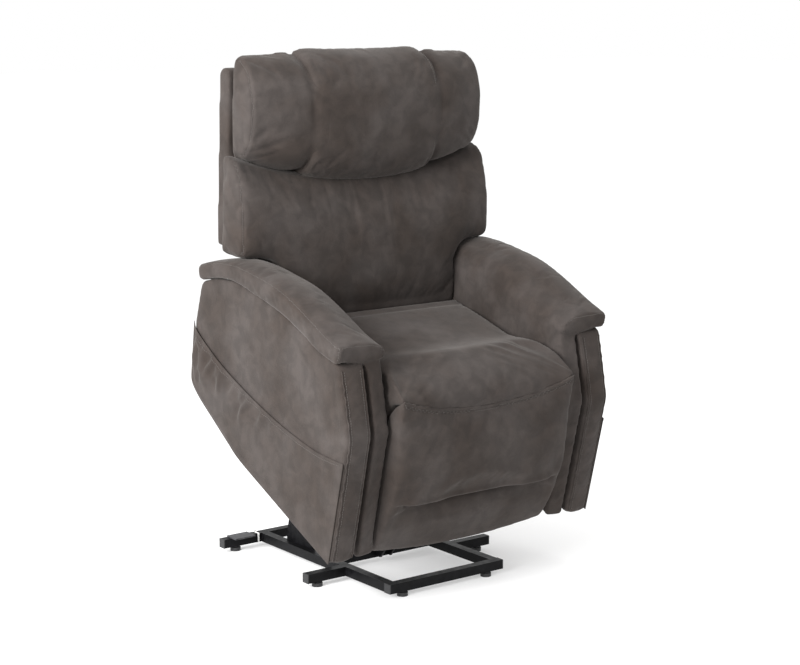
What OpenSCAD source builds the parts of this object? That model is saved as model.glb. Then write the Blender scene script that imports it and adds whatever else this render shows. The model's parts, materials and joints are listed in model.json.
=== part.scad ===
// Power lift recliner chair, drawn with the seat lifted and tilted forward.
// +Z is up, the chair faces -Y, and X is across the seat. Millimetres.
// The upholstered chair is drawn level in its own frame, then placed by raised().

/* [Lift] */
// Forward tilt of the chair when lifted, degrees
lift_tilt = 25; // [20:1:27]
// Height of the lowest front corner of the arms above the floor when lifted
lift_corner_h = 150; // [140:1:165]
// Distance of that corner in front of the base datum when lifted
lift_corner_out = 248; // [240:1:256]

/* [Base] */
// Side of the square base tube
tube_w = 25; // [22:1:28]
// Distance from the middle to the outside of each side rail
rail_out = 187; // [180:1:190]
// Height of the feet below the base tubes
foot_h = 14; // [12:1:18]
// Diameter of a foot
foot_d = 29; // [24:1:34]
// Half length of the rear tube
rear_half = 308; // [290:1:320]

/* [Seat and arms] */
// Half width of the outside of the arms
arm_out = 425; // [415:1:430]
// Half width between the arms
arm_in = 289; // [286:1:295]
// Half width of the seat cushion
seat_half = 279; // [270:1:282]
// Gap inside each side pocket
pocket_gap = 10; // [8:1:11]

/* [Back] */
// Lean of the back from upright in the chair's own frame, degrees
back_lean = 21.8; // [20:0.1:24]
// Half width of the outside back
back_half = 370; // [360:1:380]
// Half width of the lower back cushion's wings
wing_half = 413; // [400:1:416]
// Half width of the head pillow
pillow_half = 380; // [370:1:390]

/* [Fabric and metal] */
// Upholstery colour
fabric = "#5a524d"; // [#5a524d, #6b625c, #4a4440]
// Powder-coated steel colour
black_steel = "#1d1d1f"; // [#1d1d1f, #2a2a2c]

/* [Hidden] */
$fn = 48;

// Middle of the whole chair, measured back from the base datum
depth_mid = 49.2;
// Clearance between neighbouring solids
gap = 0.5;
// Base heights
base_z = foot_h;
base_top = base_z + tube_w;
// Base places, front to rear
front_tube_y = -184;
stub_y = 30;
cross_y = 120;
rear_tube_y = 440;
foot_places = [[140, -171], [270, stub_y], [266, rear_tube_y]];

// Pivots of the lift linkage: on the base, and on the chair in its own frame
lift_arm_base = [280, 190];
lift_arm_chair = [-151.6, 90];
link_base = [120, 90];
link_chair = [-300, 70];
motor_base = [75, 60];
motor_chair = [320, 150];
// Planes of the lift linkage, distance from the middle to each plate
arm_plane = [145, 153];
bracket_plane = [156, 162];
link_plane = [166, 172];
lug_plane = [175, 181];
big_pin_r = 8;
small_pin_r = 6;
run_gap = 0.05;

// Pivots of the back and the footrest in the chair's own frame
back_hinge = [330, 300];
recline_crank = [300, 210];
recline_mount = [-200, 220];
recline_x = 100;
foot_hinge = [-315, 405];
foot_crank = [-305, 345];
foot_mount = [80, 250];
foot_motor_x = -100;

// The chair's corner that raised() carries to its lifted place
corner = [-390, 45];

// Arm outline in the chair's own frame, under the cap
arm_bottom = [[-390, 45], [56, 43], [170, 61], [290, 82], [337, 99]];
arm_rear = [[350, 117], [395, 265], [410, 378]];
arm_under_cap = [[354, 423], [266, 468], [148, 494], [54, 508], [-41, 514], [-134, 518],
    [-212, 530]];
arm_knee = [-322, 381];
arm_outline = concat(arm_bottom, arm_rear, arm_under_cap, [arm_knee]);
cap_top = [[-222, 548], [-212, 568], [-181, 573], [-133, 574], [-64, 570], [28, 561],
    [121, 547], [213, 528], [304, 495], [385, 448], [447, 405], [440, 392], [402, 387]];
pocket_top = [[397, 267], [361, 249], [245, 235], [139, 234], [36, 239], [-61, 248],
    [-153, 263], [-240, 283], [-333, 319]];

// Cushion outlines in the chair's own frame
seat_outline = [[195, 343], [195, 378], [120, 400], [0, 424], [-115, 446], [-150, 470],
    [-190, 490], [-235, 498], [-285, 490], [-312, 468], [-320, 442], [-316, 426],
    [-268, 426], [-266, 352], [-240, 343]];
foot_pad_outline = [[-318, 398], [-326, 409], [-346, 372], [-372, 300], [-391, 230],
    [-389, 190.5], [-363.5, 190.5], [-332, 336]];
foot_low_outline = [[-389, 187], [-391, 150], [-385, 90], [-372, 28], [-353, 28],
    [-364.5, 187]];
foot_board_outline = [[-318, 335], [-331, 335], [-363, 190], [-352, 35], [-338, 35],
    [-348, 190]];

// Back outlines: distance in front of the outside face, then height up the back
back_bottom = [458, 453];
pillow_profile = [[83, 214], [180, 212], [205, 250], [216, 330], [205, 420], [165, 488],
    [112, 512], [83, 498]];

// Moves a shape drawn in the base datum frame to the frame of the whole chair
module placed() {
    translate([0, -depth_mid, 0]) children();
}

// Carries the chair's own frame to its lifted place
module raised() {
    placed()
        translate([0, -lift_corner_out, lift_corner_h])
            rotate([lift_tilt, 0, 0])
                translate([0, -corner[0], -corner[1]]) children();
}

// Frame of the back: Z up the back, -Y out of its front face
module on_back() {
    raised() translate([0, back_bottom[0], back_bottom[1]]) rotate([-back_lean, 0, 0]) children();
}

// A side outline, [y, z] points, extruded across from x0 to x1
module slab(x0, x1, outline) {
    translate([x0, 0, 0]) rotate([90, 0, 90]) linear_extrude(x1 - x0) polygon(outline);
}

// The same outline on both sides of the chair
module both(x0, x1, outline) {
    slab(x0, x1, outline);
    slab(-x1, -x0, outline);
}

// A back outline, [distance forward, height] points, extruded across
module back_slab(x0, x1, outline) {
    slab(x0, x1, [for (p = outline) [-p[0], p[1]]]);
}

// A round bar across the chair from x0 to x1 at a [y, z] place
module bar(x0, x1, at, r) {
    translate([x0, at[0], at[1]]) rotate([0, 90, 0]) cylinder(r = r, h = x1 - x0);
}

module both_bars(x0, x1, at, r) {
    bar(x0, x1, at, r);
    bar(-x1, -x0, at, r);
}

// A block between two corners
module block(low, high) {
    translate(low) cube(high - low);
}

// A square tube with a wall of 2 mm, between two corners, along axis 0 or 1
module box_tube(low, high, along) {
    wall = 2;
    inset = [for (i = [0:2]) i == along ? -1 : wall];
    difference() {
        block(low, high);
        block(low + inset, high - inset);
    }
}

// A flat bar with round ends between two pivots, from x0 to x1, bored at both
module link_plate(x0, x1, a, b, r, bore_a, bore_b) {
    d = b - a;
    web = r - 2;
    difference() {
        union() {
            bar(x0, x1, a, r);
            bar(x0, x1, b, r);
            translate([x0, a[0], a[1]]) rotate([atan2(d[1], d[0]), 0, 0])
                translate([0, 0, -web]) cube([x1 - x0, norm(d), 2 * web]);
        }
        bar(x0 - 1, x1 + 1, a, bore_a);
        bar(x0 - 1, x1 + 1, b, bore_b);
    }
}

// A frame that starts at a pivot and points along +Y at another
module aimed(x, from, to) {
    translate([x, from[0], from[1]]) rotate([atan2(to[1] - from[1], to[0] - from[0]), 0, 0])
        children();
}

// Length between two pivots
function reach(a, b) = norm(b - a);

// Where a chair pivot is in the base datum frame when lifted
function lifted(p) = [
    -lift_corner_out + (p[0] - corner[0]) * cos(lift_tilt) - (p[1] - corner[1]) * sin(lift_tilt),
    lift_corner_h + (p[0] - corner[0]) * sin(lift_tilt) + (p[1] - corner[1]) * cos(lift_tilt)];

// ---- Base ----

module base_rails() {
    color(black_steel) placed() for (s = [-1, 1])
        box_tube([min(s * rail_out, s * (rail_out - tube_w)), front_tube_y + tube_w, base_z],
            [max(s * rail_out, s * (rail_out - tube_w)), rear_tube_y - tube_w / 2, base_top], 1);
}

module base_front_tube() {
    color(black_steel) placed()
        box_tube([-rail_out, front_tube_y, base_z],
            [rail_out, front_tube_y + tube_w, base_top], 0);
}

module base_rear_tube() {
    color(black_steel) placed()
        box_tube([-rear_half, rear_tube_y - tube_w / 2, base_z],
            [rear_half, rear_tube_y + tube_w / 2, base_top], 0);
}

module base_outriggers() {
    color(black_steel) placed() for (s = [0, 1]) mirror([s, 0, 0])
        box_tube([rail_out, stub_y - tube_w / 2, base_z],
            [rear_half - 3, stub_y + tube_w / 2, base_top], 0);
}

module base_cross_tube() {
    color(black_steel) placed()
        box_tube([tube_w - rail_out, cross_y - tube_w / 2, base_z],
            [rail_out - tube_w, cross_y + tube_w / 2, base_top], 0);
}

// Plastic plug in the open end of a square tube; its flange stands proud
module tube_plug(x, y) {
    block([x, y - tube_w / 2, base_z], [x + 3, y + tube_w / 2, base_top]);
    block([x - 12, y - tube_w / 2 + 2.3, base_z + 2.3], [x, y + tube_w / 2 - 2.3, base_top - 2.3]);
}

module base_end_caps() {
    color("#111112") placed() for (s = [0, 1]) mirror([s, 0, 0]) {
        tube_plug(rail_out, front_tube_y + tube_w / 2);
        tube_plug(rear_half - 3, stub_y);
        tube_plug(rear_half, rear_tube_y);
    }
}

module base_feet() {
    color("#141415") placed() for (s = [-1, 1]) for (p = foot_places)
        translate([s * p[0], p[1], 0]) {
            cylinder(d = foot_d, h = foot_h * 0.7);
            translate([0, 0, foot_h * 0.7]) cylinder(d = foot_d * 0.6, h = foot_h * 0.3);
        }
}

module base_lift_brackets() {
    foot_y0 = 205;
    foot_y1 = 335;
    color(black_steel) placed() for (s = [0, 1]) mirror([s, 0, 0]) {
        difference() {
            union() {
                slab(bracket_plane[0], bracket_plane[1],
                    [[foot_y0, base_z], [foot_y1, base_z], [foot_y1, base_top + 18],
                     [300, lift_arm_base[1] + 6], [262, lift_arm_base[1] + 8],
                     [foot_y0, base_top + 24]]);
                bar(bracket_plane[0], bracket_plane[1], lift_arm_base, 22);
            }
            bar(bracket_plane[0] - 1, bracket_plane[1] + 1, lift_arm_base, big_pin_r);
        }
        difference() {
            union() {
                slab(lug_plane[0], lug_plane[1],
                    [[96, base_top], [144, base_top], [134, 92], [106, 92]]);
                bar(lug_plane[0], lug_plane[1], link_base, 14);
            }
            bar(lug_plane[0] - 1, lug_plane[1] + 1, link_base, small_pin_r);
        }
    }
}

module base_pivot_pins() {
    color("silver") placed() {
        both_bars(arm_plane[0] - 3, bracket_plane[1] + 4, lift_arm_base, big_pin_r);
        both_bars(link_plane[0] - 2.5, lug_plane[1] + 3, link_base, small_pin_r);
        bar(-24, 24, motor_base, small_pin_r);
    }
}

// Fork that holds the lift motor in front of the cross tube
module lift_motor_clevis() {
    color(black_steel) placed() difference() {
        for (s = [0, 1]) mirror([s, 0, 0])
            slab(14, 20, [[motor_base[0] + 14, base_z + 4],
                [cross_y - tube_w / 2, base_z + 4], [cross_y - tube_w / 2, base_top - 6],
                [motor_base[0] + 22, base_top - 6], motor_base + [16, -13],
                motor_base + [16, 7], motor_base + [7, 13], motor_base + [-7, 13],
                motor_base + [-13, 6], motor_base + [-12, -8]]);
        bar(-30, 30, motor_base, small_pin_r);
    }
}

module base_rear_plate() {
    color("#3a3a3d") placed()
        block([-rear_half + 22, rear_tube_y - tube_w / 2 - 22, base_top],
            [-rear_half + 88, rear_tube_y + tube_w / 2, base_top + 4]);
}

// Loop of a cable tie round the rear tube
module base_cable_tie() {
    tie_x = -200;
    g = 0.4;
    y0 = rear_tube_y - tube_w / 2 - g;
    y1 = rear_tube_y + tube_w / 2 + g;
    color("white") placed() {
        difference() {
            block([tie_x, y0 - 1.2, base_z - g - 1.2], [tie_x + 5, y1 + 1.2, base_top + g + 1.2]);
            block([tie_x - 1, y0, base_z - g], [tie_x + 6, y1, base_top + g]);
        }
        block([tie_x - 1.5, y1 - 9, base_top + g + 1.2], [tie_x + 6.5, y1 - 1, base_top + g + 6]);
    }
}

// ---- Lift linkage ----

module lift_arm(side) {
    end = lifted(lift_arm_chair);
    color(black_steel) placed() mirror([side, 0, 0])
        link_plate(arm_plane[0], arm_plane[1], lift_arm_base, end, 16,
            big_pin_r + run_gap, big_pin_r + run_gap);
}

module lift_arm_left() {
    lift_arm(0);
}

module lift_arm_right() {
    lift_arm(1);
}

// Tube that ties the two lift arms together, a little forward of their lower pivots
module lift_arm_cross_tube() {
    share = 0.5;
    at = lift_arm_base + share * (lifted(lift_arm_chair) - lift_arm_base);
    color(black_steel) placed() difference() {
        bar(-arm_plane[0], arm_plane[0], at, 12.5);
        bar(-arm_plane[0] - 1, arm_plane[0] + 1, at, 10.5);
    }
}

module control_links() {
    color(black_steel) placed() for (s = [0, 1]) mirror([s, 0, 0])
        link_plate(link_plane[0], link_plane[1], link_base, lifted(link_chair), 13,
            small_pin_r + run_gap, small_pin_r + run_gap);
}

// ---- Linear actuators: all are drawn along +Y from their mounting eye ----

// Gear case with its mounting eye at the origin
module gear_case(length, r) {
    difference() {
        union() {
            bar(-9, 9, [0, 0], 13);
            block([-9, 0, -12], [9, 26, 12]);
            block([-r, 22, -r], [r, length, r]);
        }
        bar(-10, 10, [0, 0], small_pin_r + run_gap);
    }
}

// Outer tube from the gear case to the mouth, hollow for the rod
module outer_tube(start, mouth, r, rod_r) {
    translate([0, start, 0]) rotate([-90, 0, 0]) difference() {
        cylinder(r = r, h = mouth - start);
        translate([0, 0, 6]) cylinder(r = rod_r + 2, h = mouth);
    }
}

// Rod from inside the tube to the eye at the far pivot
module rod(start, end, rod_r, eye_w) {
    difference() {
        union() {
            translate([0, start, 0]) rotate([-90, 0, 0]) cylinder(r = rod_r, h = end - start - 8);
            bar(-eye_w, eye_w, [end, 0], 12);
        }
        bar(-eye_w - 1, eye_w + 1, [end, 0], small_pin_r + run_gap);
    }
}

lift_far = lifted(motor_chair);
lift_reach = reach(motor_base, lift_far);

module lift_motor() {
    color("#2b2b2d") placed() aimed(0, motor_base, lift_far) {
        bar(24 + gap, 122, [50, 2], 22);
        bar(122, 130, [50, 2], 18);
    }
}

module lift_gear_case() {
    color("#232325") placed() aimed(0, motor_base, lift_far) gear_case(84, 24);
}

module lift_outer_tube() {
    color("#39393c") placed() aimed(0, motor_base, lift_far) outer_tube(84 + gap, 324, 19, 10);
}

module lift_rod() {
    color("silver") placed() aimed(0, motor_base, lift_far) rod(296, lift_reach, 10, 8);
}

module recline_actuator() {
    color("#2b2b2d") raised() aimed(recline_x, recline_mount, recline_crank) {
        gear_case(76, 20);
        outer_tube(76, 400, 16, 9);
        bar(20, 92, [50, 0], 19);
    }
}

module recline_rod() {
    color("silver") raised() aimed(recline_x, recline_mount, recline_crank)
        rod(330, reach(recline_mount, recline_crank), 9, 8);
}

module footrest_actuator() {
    color("#2b2b2d") raised() aimed(foot_motor_x, foot_mount, foot_crank) {
        gear_case(76, 20);
        outer_tube(76, 300, 16, 9);
        bar(20, 84, [50, 0], 19);
    }
}

module footrest_rod() {
    color("silver") raised() aimed(foot_motor_x, foot_mount, foot_crank)
        rod(200, reach(foot_mount, foot_crank), 9, 8);
}

// ---- Chair frame ----

rail_z = [165, 190];
rail_x = [190, 214];

module seat_frame_rails() {
    color(black_steel) raised() for (s = [0, 1]) mirror([s, 0, 0])
        box_tube([rail_x[0], -250, rail_z[0]], [rail_x[1], 337, rail_z[1]], 1);
}

// Front and rear cross tubes; the rear one carries the fork of the lift motor's rod
module seat_frame_cross_tubes() {
    color(black_steel) raised() {
        box_tube([-rail_x[0], -250, rail_z[0]], [rail_x[0], -225, rail_z[1]], 0);
        box_tube([-rail_x[0], 312, rail_z[0]], [rail_x[0], 337, rail_z[1]], 0);
        for (s = [0, 1]) mirror([s, 0, 0]) {
            slab(13, 19, [[motor_chair[0] - 8, rail_z[0]], [motor_chair[0] + 17, rail_z[0]],
                [motor_chair[0] + 14, motor_chair[1] - 12], [motor_chair[0] - 12, motor_chair[1] - 12],
                [motor_chair[0] - 14, motor_chair[1] + 2]]);
            bar(9.5, 13.5, motor_chair, small_pin_r);
        }
    }
}

// Plates under the seat frame that carry the upper pivots of the lift linkage
module lift_pivot_plates() {
    y0 = -332;
    color(black_steel) raised() for (s = [0, 1]) mirror([s, 0, 0]) {
        difference() {
            slab(157, 163, [[y0, 55], [link_chair[0] + 20, 48], [lift_arm_chair[0] + 8, 68],
                [lift_arm_chair[0] + 26, 90], [-110, 164.5], [-250, 164.5], [y0, 110]]);
            bar(156, 164, lift_arm_chair, big_pin_r);
        }
        block([162.9, -250, 159], [rail_x[1], -110, 164.5]);
        bar(162.9, 165, link_chair, small_pin_r);
    }
}

module chair_pivot_pins() {
    color("silver") raised() both_bars(arm_plane[0] - 3, 165, lift_arm_chair, big_pin_r);
}

module seat_box_sides() {
    color("burlywood") raised()
        both(242, 262, [[-250, 196], [285, 196], [285, 325], [-250, 330]]);
}

module seat_front_rail() {
    color("burlywood") raised() block([-241.5, -272, 236], [241.5, -254, 300]);
}

// Outline of a sinuous wire lying across the seat
wave_n = 9;
wave_steps = 12;
wave_len = 480;
wave_amp = 17;
wire_w = 3.4;
function wave_at(t) = [wave_len * (t - 0.5), wave_amp * sin(360 * wave_n * t)];
function wave_normal(t) = let (k = wave_amp * 2 * PI * wave_n / wave_len * cos(360 * wave_n * t))
    [-k, 1] / norm([-k, 1]);
wave_ts = [for (i = [0:wave_n * wave_steps]) i / (wave_n * wave_steps)];
wave_outline = concat([for (t = wave_ts) wave_at(t) + wave_normal(t) * wire_w / 2],
    [for (i = [len(wave_ts) - 1:-1:0]) wave_at(wave_ts[i]) - wave_normal(wave_ts[i]) * wire_w / 2]);

module seat_springs() {
    color("silver") raised() for (y = [-75, 0, 75, 150])
        translate([0, y, 334]) linear_extrude(wire_w) polygon(wave_outline);
}

// Seat cushion, with a channel underneath where the footrest motor's rod rises
module seat_cushion() {
    channel_half = 19;
    color(fabric) raised() difference() {
        slab(-seat_half, seat_half, seat_outline);
        block([foot_motor_x - channel_half, -330, 340],
            [foot_motor_x + channel_half, -110, 379]);
    }
}

// Power and control box with its inlet sockets at the rear
module control_box() {
    color("#1a1a1c") raised() difference() {
        union() {
            block([-55, -222, 196], [55, -118, 232]);
            block([-62, -205, 196], [62, -190, 199]);
            block([-62, -150, 196], [62, -135, 199]);
        }
        for (x = [-30, 0, 30]) translate([x, -117, 214]) rotate([90, 0, 0]) cylinder(r = 7, h = 13);
    }
}

module footrest_motor_bracket() {
    color(black_steel) raised() {
        block([-rail_x[1], 104, rail_z[1]], [-rail_x[0], 129, 262]);
        block([-rail_x[0] - 0.1, 104, 238], [-86, 129, 262]);
        difference() {
            for (x = [-119, -87]) slab(x, x + 6, [[66, 236], [105, 238], [105, 262], [66, 264]]);
            bar(-130, -70, foot_mount, small_pin_r);
        }
        bar(-121, -79, foot_mount, small_pin_r);
    }
}

module recline_motor_clevis() {
    color(black_steel) raised() {
        difference() {
            for (x = [82, 112]) slab(x, x + 6, [[-250, rail_z[1]], [-225, rail_z[1]],
                [-186, 212], [-186, 234], [-214, 234]]);
            bar(80, 120, recline_mount, small_pin_r);
        }
        bar(80, 120, recline_mount, small_pin_r);
    }
}

// ---- Arms ----

// Plywood side board inside each arm, set in from the outline
module arm_frames() {
    color("burlywood") raised()
        both(345, 363, [[-360, 62], [56, 60], [166, 77], [284, 98], [326, 112], [336, 130],
            [378, 268], [392, 372], [346, 408], [262, 451], [146, 477], [54, 491],
            [-41, 497], [-134, 501], [-198, 508], [-298, 378]]);
}

module arm_outer_panel(side) {
    color(fabric) raised() mirror([side, 0, 0]) slab(arm_out - 12, arm_out, arm_outline);
}

module arm_inner_panel(side) {
    color(fabric) raised() mirror([side, 0, 0]) slab(arm_in + gap, arm_in + 12, arm_outline);
}

// Padded board across the front of the arm, following its knee
module arm_front_panel(side) {
    t = 18;
    color(fabric) raised() mirror([side, 0, 0])
        slab(arm_in + 12 + gap, arm_out - 12 - gap,
            [[-390, 45], arm_knee, [-212, 530], [-194, 520], [arm_knee[0] + t, 376],
             [-390 + t, 45]]);
}

module arm_cap(side) {
    color(fabric) raised() mirror([side, 0, 0])
        slab(arm_in + 1, 439, concat([for (p = arm_under_cap) p + [0, gap]], cap_top));
}

// Fabric pocket over the outside of the arm, open at its top
module side_pocket(side) {
    wall = 2.5;
    low = concat([[-388, 47]], [for (i = [1:4]) arm_bottom[i] + [0, 2]], [[349, 119]]);
    inner_low = [[-381, 53], [56, 51], [168, 69], [288, 90], [331, 105], [341, 121], [385, 258],
        [392, 300], [-329, 360]];
    color(fabric) raised() mirror([side, 0, 0]) {
        slab(arm_out + pocket_gap, arm_out + pocket_gap + wall, concat(low, pocket_top));
        difference() {
            slab(arm_out + gap, arm_out + pocket_gap + 0.1, concat(low, pocket_top));
            slab(arm_out, arm_out + pocket_gap + 1, inner_low);
        }
    }
}

module arm_outer_panel_left() {
    arm_outer_panel(0);
}

module arm_outer_panel_right() {
    arm_outer_panel(1);
}

module arm_inner_panel_left() {
    arm_inner_panel(0);
}

module arm_inner_panel_right() {
    arm_inner_panel(1);
}

module arm_front_panel_left() {
    arm_front_panel(0);
}

module arm_front_panel_right() {
    arm_front_panel(1);
}

module arm_cap_left() {
    arm_cap(0);
}

module arm_cap_right() {
    arm_cap(1);
}

module side_pocket_left() {
    side_pocket(0);
}

module side_pocket_right() {
    side_pocket(1);
}

// Upholstered board that closes the rear between the arms
// Lower rear panel, notched where the lift rod swings past
module rear_panel() {
    color(fabric) raised() difference() {
        slab(-283, 283, [[350, 112], [387, 243], [374, 243], [337, 112]]);
        block([-20, 330, 100], [20, 400, 165]);
    }
}

// ---- Back ----

module back_hinge_plates() {
    color(black_steel) raised() for (s = [0, 1]) mirror([s, 0, 0]) {
        slab(263, 269, [[210, 205], [285, 205], [352, 290], [344, 318], [316, 318], [210, 250]]);
        bar(236, 263.1, back_hinge, big_pin_r);
    }
}

module back_hinge_tube() {
    color(black_steel) raised() {
        difference() {
            bar(-258, 258, back_hinge, 13);
            bar(230, 270, back_hinge, big_pin_r + run_gap);
            bar(-270, -230, back_hinge, big_pin_r + run_gap);
        }
        for (x = [82, 112]) {
            slab(x, x + 6, [back_hinge + [-14, -8], recline_crank + [-13, 2],
                recline_crank + [-6, -12], recline_crank + [8, -11], back_hinge + [14, -8]]);
        }
        bar(87.9, 91, recline_crank, small_pin_r);
        bar(109, 112.1, recline_crank, small_pin_r);
    }
}

// Plywood back board, narrow below where it passes between the arms, with two posts that
// sit on the hinge tube
module back_board() {
    color("burlywood") difference() {
        on_back() {
            back_slab(-352, 352, [[54, 40], [70, 40], [70, 455], [54, 455]]);
            back_slab(-252, 252, [[54, -150], [70, -150], [70, 41], [54, 41]]);
            for (s = [0, 1]) mirror([s, 0, 0])
                back_slab(218, 250, [[52.5, -186], [73, -186], [79, -160], [79, 20],
                    [69.9, 30], [54, 30]]);
        }
        raised() bar(-259, 259, back_hinge, 13);
    }
}

// Outside back: a wide padded board, narrow below where it passes between the arms
module outside_back() {
    color(fabric) on_back() {
        back_slab(-back_half, back_half, [[0, 4], [50, 0], [52, 470], [40, 476], [6, 470], [0, 460]]);
        back_slab(-281, 281, [[0, 5], [0, -145], [8, -150], [50, -150], [50, 5]]);
    }
}

module lumbar_cushion() {
    color(fabric) on_back() {
        back_slab(-wing_half, wing_half, [[84, 50], [100, 26], [170, 22], [196, 40], [200, 110],
            [188, 170], [165, 200], [84, 200]]);
        back_slab(-283, 283, [[84, -166], [205, -166], [213, -150], [216, -60], [210, 24],
            [200, 60], [84, 60]]);
    }
}

module head_pillow() {
    color(fabric) on_back() back_slab(-pillow_half, pillow_half, pillow_profile);
}

// Band sewn over the middle of the head pillow
module head_band() {
    outline = [for (p = pillow_profile) [-p[0], p[1]]];
    color(fabric) on_back() translate([-200, 0, 0]) rotate([90, 0, 90]) linear_extrude(400)
        difference() {
            offset(delta = 7) polygon(outline);
            offset(delta = 0.4) polygon(outline);
            translate([-110, 100]) square([200, 500]);
        }
}

// ---- Footrest ----

module footrest_hinge_plates() {
    color(black_steel) raised() for (s = [0, 1]) mirror([s, 0, 0]) {
        slab(196, 202, [[-272.5, 250], [-288, 250], [-290, 330], [-326, 396], [-324, 412],
            [-312, 416], [-303, 408], [-272.5, 345]]);
        bar(201.9, 213, foot_hinge, small_pin_r);
    }
}

module footrest_board() {
    color("burlywood") raised() slab(-262, 262, foot_board_outline);
}

module footrest_brackets() {
    color(black_steel) raised() {
        for (s = [0, 1]) mirror([s, 0, 0]) difference() {
            union() {
                bar(205, 211, foot_hinge, 12);
                slab(205, 211, [[-326, 401], [-317.6, 335], [-326, 292], [-316, 296],
                    [-303, 345], [-303.5, 401]]);
            }
            bar(204, 212, foot_hinge, small_pin_r + run_gap);
        }
        for (x = [-119, -87]) slab(x, x + 6, [[-317, 350], [-317.5, 335.5], [-303, 300],
            [-295, 340], [-298, 354], [-310, 357]]);
        bar(-113.1, -109, foot_crank, small_pin_r);
        bar(-91, -86.9, foot_crank, small_pin_r);
    }
}

module footrest_pad() {
    color(fabric) raised() difference() {
        slab(-276, 276, foot_pad_outline);
        for (s = [0, 1]) mirror([s, 0, 0]) block([190, -420, 352], [217, -300, 420]);
    }
}

module footrest_lower_pad() {
    color(fabric) raised() slab(-275, 275, foot_low_outline);
}

base_rails();
base_front_tube();
base_rear_tube();
base_outriggers();
base_cross_tube();
base_end_caps();
base_feet();
base_lift_brackets();
base_pivot_pins();
lift_motor_clevis();
base_rear_plate();
base_cable_tie();
lift_arm_left();
lift_arm_right();
lift_arm_cross_tube();
control_links();
lift_motor();
lift_gear_case();
lift_outer_tube();
lift_rod();
seat_frame_rails();
seat_frame_cross_tubes();
lift_pivot_plates();
chair_pivot_pins();
seat_box_sides();
seat_front_rail();
seat_springs();
seat_cushion();
control_box();
footrest_motor_bracket();
recline_motor_clevis();
arm_frames();
arm_outer_panel_left();
arm_outer_panel_right();
arm_inner_panel_left();
arm_inner_panel_right();
arm_front_panel_left();
arm_front_panel_right();
arm_cap_left();
arm_cap_right();
side_pocket_left();
side_pocket_right();
rear_panel();
back_hinge_plates();
footrest_hinge_plates();
back_board();
back_hinge_tube();
outside_back();
lumbar_cushion();
head_pillow();
head_band();
footrest_board();
footrest_brackets();
footrest_pad();
footrest_lower_pad();
recline_actuator();
recline_rod();
footrest_actuator();
footrest_rod();
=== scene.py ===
"""Power lift recliner chair: the upholstery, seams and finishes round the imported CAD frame."""

import json
import math

import bmesh
import bpy
import numpy as np
from mathutils import Matrix, Vector
from mathutils.bvhtree import BVHTree


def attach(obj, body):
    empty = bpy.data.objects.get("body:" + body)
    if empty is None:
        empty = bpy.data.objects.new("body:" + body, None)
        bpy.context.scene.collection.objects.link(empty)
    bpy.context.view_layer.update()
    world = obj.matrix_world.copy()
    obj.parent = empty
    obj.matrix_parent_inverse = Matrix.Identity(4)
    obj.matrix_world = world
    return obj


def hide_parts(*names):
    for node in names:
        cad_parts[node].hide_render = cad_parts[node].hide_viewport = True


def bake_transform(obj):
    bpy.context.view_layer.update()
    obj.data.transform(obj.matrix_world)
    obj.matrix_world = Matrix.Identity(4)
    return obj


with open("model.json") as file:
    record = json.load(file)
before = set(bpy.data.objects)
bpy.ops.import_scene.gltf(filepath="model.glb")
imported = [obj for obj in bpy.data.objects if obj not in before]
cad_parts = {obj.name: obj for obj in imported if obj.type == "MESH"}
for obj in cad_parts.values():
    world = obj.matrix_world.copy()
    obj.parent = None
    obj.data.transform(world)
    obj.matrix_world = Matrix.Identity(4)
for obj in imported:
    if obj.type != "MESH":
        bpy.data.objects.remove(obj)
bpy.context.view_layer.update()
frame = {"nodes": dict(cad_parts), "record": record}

# ---- Places -------------------------------------------------------------------------------
# The upholstered chair is drawn level in its own frame, X across, Y to its rear, Z up, and is
# carried to its lifted place by CHAIR. BACK is the frame of the leaning back: Z runs up its
# outside face and -Y comes out of its front.
LIFT_TILT = math.radians(25)
BACK_LEAN = math.radians(21.8)
DEPTH_MID = 0.0492
CHAIR = (Matrix.Translation((0, -0.248 - DEPTH_MID, 0.150)) @ Matrix.Rotation(LIFT_TILT, 4, "X")
         @ Matrix.Translation((0, 0.390, -0.045)))
BACK = CHAIR @ Matrix.Translation((0, 0.458, 0.453)) @ Matrix.Rotation(-BACK_LEAN, 4, "X")


# ---- Camera -------------------------------------------------------------------------------
def add_camera():
    """The view: a little left of the chair's front and a little above the seat."""
    turn = math.radians(-37.148)
    rise = math.radians(9.548)
    back = Vector((math.sin(turn) * math.cos(rise), -math.cos(turn) * math.cos(rise),
                   math.sin(rise)))
    right = Vector((0, 0, 1)).cross(back).normalized()
    up = back.cross(right)
    place = Matrix((right, up, back)).transposed().to_4x4()
    place.translation = Vector((-3.0344, -4.0053 - DEPTH_MID, 1.5452))
    data = bpy.data.cameras.new("camera")
    data.lens = 86.5
    data.sensor_width = 36
    data.shift_x = -0.00706
    data.shift_y = -0.02139
    camera = bpy.data.objects.new("camera", data)
    camera.matrix_world = place
    bpy.context.scene.collection.objects.link(camera)
    bpy.context.scene.camera = camera


add_camera()


# ---- Materials ----------------------------------------------------------------------------
def new_material(name, color, roughness=0.5, metallic=0.0):
    """A node material and its shader, with plain values on the shader's own sockets."""
    material = bpy.data.materials.new(name)
    material.use_nodes = True
    shader = material.node_tree.nodes["Principled BSDF"]
    shader.inputs["Base Color"].default_value = (*color, 1)
    shader.inputs["Roughness"].default_value = roughness
    shader.inputs["Metallic"].default_value = metallic
    return material, shader


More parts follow.
